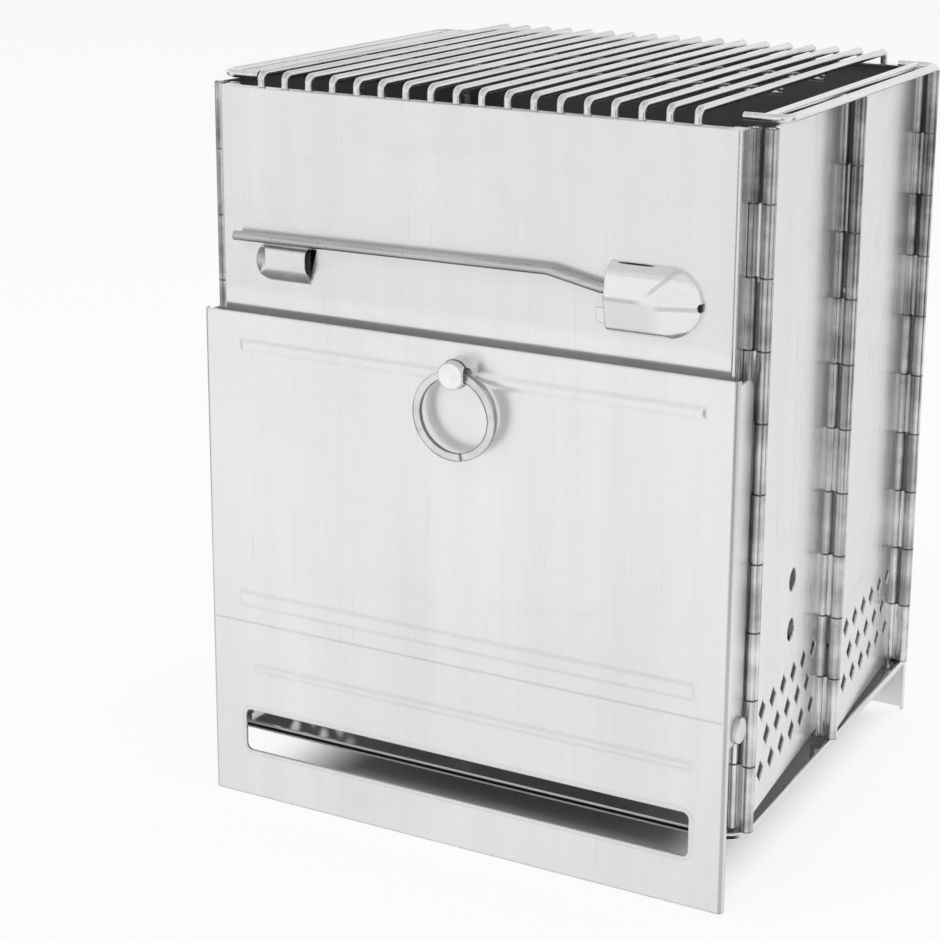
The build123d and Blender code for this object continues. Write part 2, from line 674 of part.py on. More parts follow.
def make_pivot_rivets():
    rivets = []
    for side in (RIGHT, LEFT):
        head_x = side * (DOOR_HALF_WIDTH + PIVOT_HEAD_GAP)
        tail_x = side * (FRONT_HALF_WIDTH - SHEET)
        rivet = across(tail_x, head_x, DOOR_PIVOT_Y, DOOR_PIVOT_Z, PIVOT_SHANK_DIA)
        head = across(
            head_x,
            head_x + side * PIVOT_HEAD_THICK,
            DOOR_PIVOT_Y,
            DOOR_PIVOT_Z,
            PIVOT_HEAD_DIA,
        )
        outer_face = head.faces().filter_by(GeomType.PLANE).sort_by(Axis.X)[-1 if side > 0 else 0]
        head = fillet(outer_face.edges(), PIVOT_HEAD_DOME)
        tail = across(
            tail_x,
            tail_x - side * PIVOT_TAIL_THICK,
            DOOR_PIVOT_Y,
            DOOR_PIVOT_Z,
            PIVOT_TAIL_DIA,
        )
        rivets.append(rivet + head + tail)
    return Compound(children=rivets)


def make_pivot_spacers():
    spacers = []
    for side in (RIGHT, LEFT):
        x0 = side * FRONT_HALF_WIDTH
        x1 = side * (DOOR_HALF_WIDTH - SHEET - SPACER_GAP)
        sleeve = across(x0, x1, DOOR_PIVOT_Y, DOOR_PIVOT_Z, SPACER_DIA)
        sleeve = sleeve - across(
            x0 - side * OVERCUT, x1 + side * OVERCUT, DOOR_PIVOT_Y, DOOR_PIVOT_Z, PIVOT_SHANK_DIA
        )
        spacers.append(sleeve)
    return Compound(children=spacers)


def ring_passage():
    # Flared cross hole in which the ring's section turns, widest where the ring curves away
    mean_radius = (RING_DIA - RING_RADIAL) / 2
    half_axial = (2 * RING_TURN + RING_TURN_GAP) / 2
    stations = (0, KNOB_FRONT_DIA / 4, KNOB_FRONT_DIA / 2, KNOB_SHOULDER_DIA / 2 + SHEET)
    profile = []
    for u in stations:
        drop = mean_radius - math.sqrt(mean_radius ** 2 - u ** 2)
        radius = math.hypot(RING_RADIAL / 2 + drop, half_axial) + RING_CLEARANCE
        profile.append((u, radius))
    points = [(-u, r) for u, r in reversed(profile)] + profile[1:]
    reach = stations[-1]
    outline = [(KNOB_X - reach, 0)] + [(KNOB_X + u, r) for u, r in points] + [(KNOB_X + reach, 0)]
    face = make_face(Polyline([(x, 0, r) for x, r in outline], close=True))
    return Pos(0, KNOB_SEAM_Y, KNOB_Z) * revolve(face, axis=Axis.X)


def make_knob():
    knob = along_y(KNOB_X, KNOB_FRONT_Y, KNOB_SEAM_Y, KNOB_Z, KNOB_FRONT_DIA)
    knob = chamfer(knob.faces().sort_by(Axis.Y)[0].edges(), KNOB_EDGE)
    shoulder = along_y(KNOB_X, KNOB_SEAM_Y, DOOR_FACE_Y, KNOB_Z, KNOB_SHOULDER_DIA)
    knob = knob + shoulder
    groove = along_y(
        KNOB_X,
        KNOB_SEAM_Y - SEAM_WIDTH / 2,
        KNOB_SEAM_Y + SEAM_WIDTH / 2,
        KNOB_Z,
        KNOB_SHOULDER_DIA + OVERCUT,
    )
    groove = groove - along_y(
        KNOB_X,
        KNOB_SEAM_Y - SEAM_WIDTH,
        KNOB_SEAM_Y + SEAM_WIDTH,
        KNOB_Z,
        KNOB_FRONT_DIA - 2 * SEAM_DEPTH,
    )
    knob = knob - groove - ring_passage()
    # The shoulder is relieved where it sits across the door's top bead
    top_bead, _ = bead(*DOOR_BEADS[0], DOOR_FACE_Y, -1)
    knob = knob - top_bead
    back = DOOR_FACE_Y + SHEET + KNOB_WASHER_THICK
    seat = DOOR_FACE_Y - BEAD_HEIGHT
    knob = knob + along_y(KNOB_X, seat, back, KNOB_Z, KNOB_SHANK_DIA)
    return knob + along_y(KNOB_X, back, back + KNOB_TAIL_THICK, KNOB_Z, KNOB_TAIL_DIA)


def make_knob_washer():
    y0 = DOOR_FACE_Y + SHEET
    y1 = y0 + KNOB_WASHER_THICK
    washer = along_y(KNOB_X, y0, y1, KNOB_Z, KNOB_WASHER_DIA)
    return washer - along_y(KNOB_X, y0 - OVERCUT, y1 + OVERCUT, KNOB_Z, KNOB_SHANK_DIA)


def make_ring():
    mean_radius = (RING_DIA - RING_RADIAL) / 2
    z = KNOB_Z - mean_radius
    half = (2 * RING_TURN + RING_TURN_GAP) / 2
    inner_dia = RING_DIA - 2 * RING_RADIAL
    ring = along_y(KNOB_X, KNOB_SEAM_Y - half, KNOB_SEAM_Y + half, z, RING_DIA)
    ring = ring - along_y(
        KNOB_X, KNOB_SEAM_Y - half - OVERCUT, KNOB_SEAM_Y + half + OVERCUT, z, inner_dia
    )
    gap0 = KNOB_SEAM_Y - RING_TURN_GAP / 2
    gap1 = KNOB_SEAM_Y + RING_TURN_GAP / 2
    outside = along_y(KNOB_X, gap0, gap1, z, RING_DIA + OVERCUT)
    outside = outside - along_y(
        KNOB_X, gap0 - OVERCUT, gap1 + OVERCUT, z, RING_DIA - 2 * RING_GROOVE_DEPTH
    )
    inside = along_y(KNOB_X, gap0, gap1, z, inner_dia + 2 * RING_GROOVE_DEPTH)
    return ring - outside - inside


def make_rod():
    points = [(x, ROD_Y, z) for x, z in (ROD_LEFT, ROD_BEND_UPPER, ROD_BEND_LOWER, ROD_RIGHT)]
    path = FilletPolyline(points, radius=ROD_BEND_RADIUS)
    section = Plane(origin=path @ 0, z_dir=path % 0) * Circle(ROD_DIA / 2)
    rod = sweep(section, path=path)
    for face in (rod.faces().sort_by(Axis.X)[0], rod.faces().sort_by(Axis.X)[-1]):
        rod = chamfer(face.edges(), ROD_END_CHAMFER)
    return rod


def pan_footprint(grow, z):
    sketch = Rectangle(2 * (PAN_HALF_WIDTH + grow), PAN_REAR_Y - PAN_FRONT_Y + 2 * grow)
    front = sketch.vertices().group_by(Axis.Y)[0]
    sketch = fillet(front, PAN_FRONT_CORNER + grow)
    rear = sketch.vertices().group_by(Axis.Y)[-1]
    sketch = fillet(rear, PAN_REAR_CORNER + grow)
    return Pos(0, (PAN_FRONT_Y + PAN_REAR_Y) / 2, z) * sketch


def make_pan():
    height = PAN_RIM_TOP - PAN_FLOOR_BOTTOM
    pan = extrude(pan_footprint(0, PAN_FLOOR_BOTTOM), amount=height)
    pan = pan - extrude(pan_footprint(-SHEET, PAN_FLOOR_BOTTOM + SHEET), amount=height)
    for side in (RIGHT, LEFT):
        for y in (FRONT_COLUMN_Y, REAR_COLUMN_Y):
            pan = pan - upright(
                side * INNER_WIRE_X,
                y,
                PAN_FLOOR_BOTTOM - OVERCUT,
                PAN_FLOOR_BOTTOM + OVERCUT,
                PAN_WIRE_HOLE_DIA,
            )
    return pan


def make_grate_bars():
    bars = []
    for k in range(BAR_COUNT):
        x = BAR_FIRST_X + k * BAR_PITCH
        points = [
            (x, BAR_FRONT_Y, BAR_TIP_Z),
            (x, BAR_FRONT_Y, BAR_Z),
            (x, BAR_REAR_Y, BAR_Z),
            (x, BAR_REAR_Y, BAR_TIP_Z),
        ]
        path = FilletPolyline(points, radius=BAR_BEND_RADIUS)
        section = Plane(origin=path @ 0, z_dir=path % 0) * Circle(BAR_DIA / 2)
        bars.append(sweep(section, path=path))
    return Compound(children=bars)


def make_cross_rods():
    z = BAR_Z - BAR_DIA / 2 - CROSS_ROD_DIA / 2
    rods = [across(-CROSS_ROD_HALF, CROSS_ROD_HALF, y, z, CROSS_ROD_DIA) for y in CROSS_ROD_Y]
    return Compound(children=rods)


def make_side_frame(side):
    points = [
        (side * FRAME_TIP_X, FRAME_FRONT_Y, FRAME_Z),
        (side * FRAME_OUTER_X, FRAME_FRONT_Y, FRAME_Z),
        (side * FRAME_OUTER_X, FRAME_REAR_Y, FRAME_Z),
        (side * FRAME_TIP_X, FRAME_REAR_Y, FRAME_Z),
    ]
    path = FilletPolyline(points, radius=FRAME_CORNER)
    section = Plane(origin=path @ 0, z_dir=path % 0) * Circle(FRAME_WIRE_DIA / 2)
    frame = sweep(section, path=path)
    x = side * FRAME_INNER_X
    return frame + along_y(x, FRAME_FRONT_Y, FRAME_REAR_Y, FRAME_Z, FRAME_INNER_DIA)


def save(name, piece):
    moved = Pos(0, -MIDDLE_Y, 0) * piece
    export_step(moved, "parts/" + name + ".step")


def main():
    os.makedirs("parts", exist_ok=True)
    save("front_panel", make_front_panel())
    save("rear_panel", make_rear_panel())
    for name, side in SIDES.items():
        save("side_front_" + name, make_side_front(side))
        save("side_rear_" + name, make_side_rear(side))
        for column, y in COLUMN_Y.items():
            save("hinge_links_" + column + "_" + name, make_links(side, y))
            inner_bottom = SHORT_WIRE_BOTTOM if column == "mid" else LONG_WIRE_BOTTOM
            inner = make_wire(side * INNER_WIRE_X, y, inner_bottom)
            outer = make_wire(side * OUTER_WIRE_X, y, SHORT_WIRE_BOTTOM)
            save("hinge_wire_inner_" + column + "_" + name, inner)
            save("hinge_wire_outer_" + column + "_" + name, outer)
        save("side_wire_frame_" + name, make_side_frame(side))
    save("feed_door", make_door())
    save("door_pivot_rivets", make_pivot_rivets())
    save("door_pivot_spacers", make_pivot_spacers())
    save("knob_stud", make_knob())
    save("knob_washer", make_knob_washer())
    save("pull_ring", make_ring())
    save("latch_rod", make_rod())
    save("base_pan", make_pan())
    save("grate_bars", make_grate_bars())
    save("grate_cross_rods", make_cross_rods())


main()
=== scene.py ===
"""Finish of the folding steel stove: rolled sheet, curled knuckles, drawn wire, turned knob,
the split pull ring, the welds of the grate, and the studio round it. Metres, Z up."""
import math

import bpy
from mathutils import Matrix, Vector


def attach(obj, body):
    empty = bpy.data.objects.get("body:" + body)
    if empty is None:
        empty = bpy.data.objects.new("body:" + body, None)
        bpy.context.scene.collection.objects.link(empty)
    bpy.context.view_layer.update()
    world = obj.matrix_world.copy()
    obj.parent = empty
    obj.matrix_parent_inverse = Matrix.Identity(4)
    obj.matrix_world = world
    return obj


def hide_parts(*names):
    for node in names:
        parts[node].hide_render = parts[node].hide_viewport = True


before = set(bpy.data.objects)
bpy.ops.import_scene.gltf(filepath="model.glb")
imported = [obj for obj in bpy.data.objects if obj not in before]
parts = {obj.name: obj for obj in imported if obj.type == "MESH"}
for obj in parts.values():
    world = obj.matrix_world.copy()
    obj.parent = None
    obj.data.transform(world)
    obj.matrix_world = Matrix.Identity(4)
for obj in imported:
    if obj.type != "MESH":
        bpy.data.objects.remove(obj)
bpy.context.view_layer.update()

MM = 0.001

# Places of the stove's own pieces
FRONT_FACE_Y = -90.8 * MM
HINGE_COLUMN_Y = FRONT_FACE_Y + 10.5 * MM
HINGE_COLUMN_PITCH = 87.0 * MM
WIRE_MIDDLE_X = 104.9 * MM
WIRE_HALF_PITCH = 2.9 * MM
KNUCKLE_RADIUS = 2.36 * MM
KNUCKLE_TOP = 272.9 * MM
KNUCKLE_PITCH = 24.77 * MM
DOOR_PIVOT = Vector((0.0, FRONT_FACE_Y + 2.5 * MM, 66.0 * MM))
KNOB_AXIS = Vector((2.5 * MM, FRONT_FACE_Y - 10.9 * MM, 181.5 * MM))

# The split pull ring: rolled wire of a flat section, in one coil of almost two turns
RING_MEAN_RADIUS = 14.9 * MM
RING_CENTRE = KNOB_AXIS - Vector((0, 0, RING_MEAN_RADIUS))
RING_BORE = RING_MEAN_RADIUS - 1.3 * MM
RING_RADIAL = 2.8 * MM
RING_TURN = 1.3 * MM
RING_STEP = 1.5 * MM
RING_WIRE_CORNER = 0.38 * MM
RING_SWEEP = 700
RING_STEPS = 176
RING_TURNS = RING_SWEEP / 360
RING_DRAFT_RISE = 100 * MM
RING_START_ANGLE = 80
RING_CROSSES_AT = 0.92
RING_CROSSES_OVER = 0.20
RING_SPREAD_AT = 0.68
RING_SPREAD_OVER = 0.11
RING_SPREAD_BY = 0.75 * MM

# The grate and its welds
BAR_COUNT = 18
BAR_PITCH = 2 * 84.9 * MM / (BAR_COUNT - 1)
BAR_DIA = 2.9 * MM
BAR_HEIGHT = 277.8 * MM
CROSS_ROD_Y = (FRONT_FACE_Y + 76.0 * MM, FRONT_FACE_Y + 119.0 * MM)
WELD_HALF_SIZE = (1.5 * MM, 1.75 * MM, 0.75 * MM)
WELD_LIFT = 0.1 * MM
WELD_LOBES = (3100, 2600)
WELD_LOBE_SHARE = 0.12
WELD_TURN_STEP = 2.1
WELD_TURN_SPAN = 3.14
WELD_SIZE_STEP = 1.7

# How the sheet looks
PALE_SHEET = (0.90, 0.902, 0.906)
GREY_SHEET = (0.70, 0.702, 0.708)
SHEET_METALLIC = 0.74
SATIN_TAKES_METALLIC = 0.62
SATIN_ROUGHENS = 0.3
# Painted shade on the faces that look into the fire: the heights where it comes in and deepens,
# and the span over which it lightens to the right
INNER_SHADE_FADES_IN = (21 * MM, 26 * MM)
INNER_SHADE_DEEPENS = (170 * MM, 225 * MM)
INNER_SHADE_LIGHTENS_RIGHTWARD = (-35 * MM, 35 * MM)
# Heights over which painted shade darkens the knuckles upwards
KNUCKLES_DARKEN_UP = (90 * MM, 250 * MM)
DOOR_TOP_RUB = (196.0 * MM, 202.0 * MM)
# Tones of that painted shade, the pan's upward faces included
MIDDLING_INNER_SHADE = ((0.30, 0.30, 0.305), (0.52, 0.52, 0.53))
DEEP_INNER_SHADE = ((0.03,) * 3, (0.10,) * 3)
INNER_SHADE_UNDER_GRATE = ((0.16,) * 3, (0.32,) * 3)
LIGHT_INNER_SHADE = ((0.6, 0.6, 0.605), (0.85, 0.85, 0.855))
PAN_INNER_SHADE = ((0.5, 0.5, 0.51), (0.72, 0.72, 0.73))

# The two pressings of the front panel, in millimetres: (height, how far it stands off)
POCKET_SECTION = (
    (201.2, -0.3), (201.6, 1.2), (202.6, 3.4), (203.6, 4.75), (204.8, 5.2), (207.5, 5.85),
    (210.5, 6.5), (212.8, 6.98), (213.8, 7.1), (214.8, 7.02), (217.5, 6.6), (220.5, 6.15),
    (222.2, 5.75), (223.2, 5.1), (224.6, 3.0), (225.7, 1.2), (226.1, -0.3),
)
LANCE_SECTION = (
    (203.7, -0.2), (204.4, 0.4), (206.7, 1.98), (208.8, 3.4), (209.8, 3.86), (211.0, 3.95),
    (213.5, 3.88), (214.8, 3.72), (215.6, 3.5), (216.3, 2.3), (217.0, 0.8), (217.4, -0.3),
)
COVER_GRID = (46, 40)
COVER_SKIN = 0.3
COVER_EDGE_SINKS = 0.3
COVER_SLOPE_AT_EDGES = 0.3

# Where the painted shade of the openings, creases and bends lies, in millimetres: across, then
# upwards
POCKET_MOUTH = ((56.9, 74.0), (203.2, 224.6))
LANCE_MOUTH = ((-82.0, -63.0), (205.0, 216.4))
LANCE_SHEAR = ((-63.0, -60.4), (206.5, 216.4))
LANCE_SHEAR_TOP = 216.6
LANCE_SHEAR_LEAN = 0.28
WEEP_HOLE = ((89.7, 1.1), (213.2, 1.6))
POCKET_CUT = ((66.0, 7.0), (225.55, 0.26))
DOOR_BEND_X = (102.5, 103.0)
PAN_DARK_BAND = (22.75, 23.85)

# The studio
ROOM_STRENGTH = 0.55
ROOM_GREY = (0.8, 0.8, 0.8, 1.0)
WHITE = (1.0, 1.0, 1.0, 1.0)
ROOM_IN_GLOSS = ((0.0, 1.0), (0.34, 1.0), (0.58, 0.7), (0.84, 0.82), (1.0, 0.5))
FLOOR_RADIUS = 14.0
FLOOR_GREY = (0.9, 0.9, 0.9, 1.0)
FOOTPRINT_HALF = (0.108, 0.100)
FLOOR_FADES_OVER = (-0.045, 0.002)
FLOOR_GLOW_SHARE = 0.9
BOARD_DISTANCE = 0.45
BOARD_TOP = 0.29
BOARD_GREY = (0.02, 0.02, 0.02, 1.0)
DARK_BOARDS = (
    ("board_front_right", -45, 0.11),
    ("board_right", 12, 0.13),
    ("board_rear_right", 112, 0.12),
    ("board_left", -168, 0.12),
)
LAMPS = (
    ("key_softbox", (-1.1, -1.5, 1.7), (0, 0, 0.12), (1.3, 1.0), 16),
    ("right_softbox", (1.7, -0.6, 1.2), (0, 0, 0.12), (0.9, 1.2), 7),
    ("top_softbox", (0.1, 0.4, 1.9), (0, 0, 0.2), (1.2, 1.2), 8),
)
CAMERA_PLACE = (0.3569, -0.7327, 0.3792)
CAMERA_BEARING = 26.73
CAMERA_HEIGHT = 13.83
CAMERA_TILT = 0.75
CAMERA_LENS = 83.1
CAMERA_SENSOR = 36.0
CAMERA_SHIFT = (-0.0851, -0.1596)
CAMERA_CLIP = (0.01, 60.0)


# Shader writing

class Level:
    """What one node gives to the next; sums written with it become Math nodes."""

    def __init__(self, wiring, socket):
        self.wiring = wiring
        self.socket = socket

    def __add__(self, other):
        return self.wiring.maths("ADD", self, other)

    def __radd__(self, other):
        return self.wiring.maths("ADD", other, self)

    def __sub__(self, other):
        return self.wiring.maths("SUBTRACT", self, other)

    def __rsub__(self, other):
        return self.wiring.maths("SUBTRACT", other, self)

    def __mul__(self, other):
        return self.wiring.maths("MULTIPLY", self, other)

    def __rmul__(self, other):
        return self.wiring.maths("MULTIPLY", other, self)

    def __truediv__(self, other):
        return self.wiring.maths("DIVIDE", self, other)

    def __rtruediv__(self, other):
        return self.wiring.maths("DIVIDE", other, self)

    def __pow__(self, other):
        return self.wiring.maths("POWER", self, other)


class Wiring:
    """The nodes of one material or of the room, put together one by one."""

    def __init__(self, tree):
        self.tree = tree
        self.tree.nodes.clear()

    def node(self, kind, settings=None, sockets=None, output=0):
        """A node of that kind, its settings first, then values or links on its sockets."""
        made = self.tree.nodes.new(kind)
        for key, value in (settings or {}).items():
            if key == "stops":
                ramp = made.color_ramp
                while len(ramp.elements) < len(value):
                    ramp.elements.new(0.5)
                for element, (position, tone) in zip(ramp.elements, value):
                    element.position = position
                    element.color = (tone, tone, tone, 1.0)
            else:
                setattr(made, key, value)
        for key, value in (sockets or {}).items():
            if isinstance(value, Level):
                self.tree.links.new(value.socket, made.inputs[key])
            else:
                made.inputs[key].default_value = value
        return Level(self, made.outputs[output]) if made.outputs else None

    def maths(self, operation, *values):
        return self.node("ShaderNodeMath", {"operation": operation}, dict(enumerate(values)))

    def size_of(self, value):
        return self.maths("ABSOLUTE", value)

    def larger(self, one, other):
        return self.maths("MAXIMUM", one, other)

    def axes(self, vector):
        return [self.node("ShaderNodeSeparateXYZ", None, {0: vector}, axis) for axis in range(3)]

    def ease(self, value, low, high, to_low=0.0, to_high=1.0):
        """Goes softly from to_low to to_high while the value goes from low to high."""
        return self.node(
            "ShaderNodeMapRange",
            {"interpolation_type": "SMOOTHSTEP"},
            {
                "Value": value,
                "From Min": low,
                "From Max": high,
                "To Min": to_low,
                "To Max": to_high,
            },
        )

    def between(self, value, low, high, edge=0.3):
        """1 from low to high, both in millimetres, 0 outside them."""
        rise = self.ease(value, (low - edge) * MM, low * MM)
        return rise * self.ease(value, high * MM, (high + edge) * MM, 1.0, 0.0)

    def mixed(self, share, first, second):
        return self.node("ShaderNodeMixShader", None, {0: share, 1: first, 2: second})

    def seen_rays(self):
        """1 for what the camera, a gloss or a glass ray sees, then 1 for a gloss alone."""
        camera, gloss, glass = (
            self.node("ShaderNodeLightPath", output=ray)
            for ray in ("Is Camera Ray", "Is Glossy Ray", "Is Transmission Ray")
        )
        return self.larger(self.larger(camera, gloss), glass), gloss


class Surface(Wiring):
    """A material with nodes of its own."""

    def __init__(self, name):
        self.material = bpy.data.materials.new(name)
        self.material.use_nodes = True
        super().__init__(self.material.node_tree)

    def close(self, shader):
        self.node("ShaderNodeOutputMaterial", None, {"Surface": shader})
        return self.material


class Finish(Surface):
    """One steel finish, built up node by node round its shader."""

    def __init__(self, name):
        super().__init__(name)
        self.place = self.node("ShaderNodeTexCoord", output="Object")
        self.facing = self.node("ShaderNodeTexCoord", output="Normal")

    def stretched(self, scale, turn=(0.0, 0.0, 0.0)):
        """The place on the part, stretched so that a pattern runs along one way."""
        return self.node(
            "ShaderNodeMapping",
            None,
            {"Vector": self.place, "Scale": scale, "Rotation": turn},
        )

    def cloud(self, vector, detail=3.0, roughness=0.5, distortion=0.0):
        return self.node(
            "ShaderNodeTexNoise",
            None,
            {
                "Vector": vector,
                "Scale": 1.0,
                "Detail": detail,
                "Roughness": roughness,
                "Distortion": distortion,
            },
        )

    def tone(self, factor, dark, light):
        """A steel colour between two tones."""
        return self.layer(factor, (*dark, 1.0), (*light, 1.0))

    def layer(self, factor, under, over):
        """One colour laid over another; both may vary."""
        return self.node("ShaderNodeMix", {"data_type": "RGBA"}, {0: factor, 6: under, 7: over}, 2)

    def plain(self, level):
        """One even grey."""
        return self.tone(0.5, (level,) * 3, (level,) * 3)

    def pressed_round(self, radius):
        """Edges turned over softly, as pressing and tumbling leave them."""
        return self.node("ShaderNodeBevel", {"samples": 6}, {"Radius": radius})

    def relief(self, height, distance, strength=1.0, under=None):
        sockets = {"Height": height, "Distance": distance, "Strength": strength}
        if under is not None:
            sockets["Normal"] = under
        return self.node("ShaderNodeBump", None, sockets)

    def steel(self, colour, roughness, normal, metallic=1.0):
        """Closes the finish with its shader."""
        return self.close(self.node(
            "ShaderNodeBsdfPrincipled",
            None,
            {
                "Base Color": colour,
                "Roughness": roughness,
                "Normal": normal,
                "Metallic": metallic,
            },
        ))


# Steel finishes

def knuckle_mask(finish, x, y):
    """1 on the curled knuckles round the hinge wires, 0 on the flat sheet."""
    off_wire = finish.size_of(finish.size_of(x) - WIRE_MIDDLE_X) - WIRE_HALF_PITCH
    half = HINGE_COLUMN_PITCH / 2
    along = finish.maths("WRAP", y - HINGE_COLUMN_Y, half, -half)
    away = (off_wire * off_wire + along * along) ** 0.5
    return 1.0 - finish.ease(away, KNUCKLE_RADIUS + 0.15 * MM, KNUCKLE_RADIUS + 0.6 * MM)


def facing_the_fire(finish, inside, x, facing):
    """How far a face turns to the fire, by which way the inner faces of the piece look."""
    nx, ny, nz = facing
    if inside == "sides":
        return finish.maths("SIGN", x) * nx * -1.0
    if inside == "front":
        return ny * -1.0
    return ny if inside == "back" else nz


def paint_inner_shade(finish, colour, roughness, place, facing, inside, inner_shade, inside_dulls, shade_lightens_right):
    """Painted shade on the faces that look into the fire, deepest under the grate. With its flag
    set it lightens towards the right."""
    x, _, z = place
    hidden = finish.ease(facing_the_fire(finish, inside, x, facing), 0.55, 0.9)
    shade_cloud = finish.cloud(finish.stretched((26.0, 26.0, 18.0)), detail=5.0, roughness=0.65)
    dim = finish.tone(shade_cloud, *inner_shade)
    if inside != "up":
        hidden = hidden * finish.ease(z, *INNER_SHADE_FADES_IN)
        under_grate = finish.ease(z, *INNER_SHADE_DEEPENS)
        if shade_lightens_right:
            clear = finish.ease(x, *INNER_SHADE_LIGHTENS_RIGHTWARD)
            dim = finish.layer(clear, finish.tone(shade_cloud, *DEEP_INNER_SHADE), dim)
        dim = finish.layer(under_grate, dim, finish.tone(shade_cloud, *INNER_SHADE_UNDER_GRATE))
    return finish.layer(hidden, colour, dim), roughness + hidden * inside_dulls


def curl_knuckles(finish, colour, roughness, place):
    """Draw lines on the knuckles, which are painted darker than the flat sheet: the light and dark
    of the lines stand partly for grain and partly for painted reflection stripes, painted shade
    darkens the top, and a black line of painted shade fills the gap between each two.
    """
    x, y, z = place
    curled = knuckle_mask(finish, x, y)
    drawn = finish.cloud(finish.stretched((620.0, 620.0, 5.0)), detail=3.0, roughness=0.6)
    rubbed = finish.cloud(finish.stretched((60.0, 60.0, 90.0)), detail=3.0)
    along = finish.ease(drawn * 0.6 + rubbed * 0.4, 0.34, 0.66)
    # Painted shade and reflection: darker than the sheet, the draw lines striped light and dark,
    # darker still towards the top
    tube = finish.layer(
        finish.ease(z, *KNUCKLES_DARKEN_UP),
        finish.tone(along, (0.30, 0.30, 0.302), (0.90, 0.90, 0.905)),
        finish.tone(along, (0.09, 0.09, 0.092), (0.66, 0.66, 0.67)),
    )
    # Painted shade in the gap between each two knuckles
    segment = finish.maths("FRACT", (KNUCKLE_TOP - z) / KNUCKLE_PITCH)
    edge = finish.size_of(segment - 0.5)
    tube = finish.layer(finish.ease(edge, 0.475, 0.497) * 0.7, tube, finish.plain(0.05))
    return finish.layer(curled, colour, tube), roughness + curled * (drawn - 0.45) * 0.3


def rolled_sheet(
    name, bright, dull, inside=None, with_knuckles=True, sweep=0.0, gloss=0.13,
    inner_shade=MIDDLING_INNER_SHADE, inside_dulls=0.18, shade_lightens_right=False,
    openings=None, creases=None, satin=None, corner=0.7,
):
    """Bright stainless sheet with an upright rolling grain, faint wiping marks and a few
    scratches. inside says which way the faces that look into the fire turn, and they take painted
    shade; sweep paints a light gradient; openings and creases paint shade into dark mouths and
    darker folds, and satin gives where the sheet is duller (above 0) or rubbed brighter (below 0)."""
    finish = Finish(name)
    place = x, y, z = finish.axes(finish.place)
    facing = finish.axes(finish.facing)
    grain = finish.cloud(finish.stretched((1400.0, 1400.0, 14.0)), detail=4.0, roughness=0.7)
    band = finish.cloud(finish.stretched((70.0, 70.0, 3.0)), detail=3.0)
    drift = finish.cloud(finish.stretched((9.0, 9.0, 6.0)), detail=2.0, distortion=0.4)
    wipes = finish.stretched((30.0, 30.0, 55.0), (0.3, 0.5, 0.2))
    wiped = finish.cloud(wipes, detail=5.0, distortion=1.2)
    upright = finish.stretched((900.0, 900.0, 22.0), (0.5, 0.35, 0.0))
    scratch = finish.ease(finish.cloud(upright, detail=1.0), 0.70, 0.76)
    sideways = finish.stretched((24.0, 700.0, 700.0), (0.1, 0.25, 0.6))
    cross = finish.ease(finish.cloud(sideways, detail=1.0), 0.71, 0.77)
    light = 0.6 + (drift - 0.5) * 0.8 + (band - 0.5) * 0.5 + (grain - 0.5) * 0.35
    light = light - finish.ease(wiped, 0.55, 0.8) * 0.12
    # Painted light: sweep lays a gradient over the sheet, lighter towards the top left and darker
    # towards the bottom right
    if sweep:
        light = light + finish.ease(z - x * 0.35, 0.02, 0.20, -sweep, sweep)
    light = light - scratch * 0.16 - cross * 0.10
    colour = finish.tone(light, dull, bright)
    smears = finish.ease(wiped, 0.5, 0.85)
    roughness = gloss + drift * 0.08 + grain * 0.06 + smears * 0.08 + scratch * 0.1
    # Faces that look into the fire take painted shade
    if inside:
        colour, roughness = paint_inner_shade(
            finish, colour, roughness, place, facing, inside, inner_shade, inside_dulls, shade_lightens_right
        )
    if with_knuckles:
        colour, roughness = curl_knuckles(finish, colour, roughness, place)
    # Creases and bends take painted shade
    if creases:
        shade = finish.tone(drift, (0.34, 0.34, 0.345), (0.5, 0.5, 0.505))
        colour = finish.layer(creases(finish, place, facing), colour, shade)
    # Openings are painted near-black: painted shade in the mouths
    if openings:
        colour = finish.layer(openings(finish, place, facing), colour, finish.plain(0.012))
    height = grain * 0.5 + scratch * -0.8 + cross * -0.6 + band * 0.4
    skin = finish.relief(height, 0.02 * MM, 1.0, finish.pressed_round(corner * MM))
    buckle = finish.cloud(finish.stretched((7.0, 7.0, 5.0)), detail=1.0)
    metallic = SHEET_METALLIC
    if satin:
        dulled = satin(finish, place, facing)
        metallic = SHEET_METALLIC - dulled * SATIN_TAKES_METALLIC
        roughness = roughness + dulled * SATIN_ROUGHENS
    return finish.steel(colour, roughness, finish.relief(buckle, 0.9 * MM, 0.6, skin), metallic)


def behind_door_top(finish, place, facing):
    """The front panel is rubbed bright below the door's top edge, which lies against it."""
    return finish.ease(place[2], *DOOR_TOP_RUB, -0.4, 0.0)


def door_back(finish, place, facing):
    """The back of the door is left satin."""
    return finish.ease(facing[1], 0.4, 0.8)


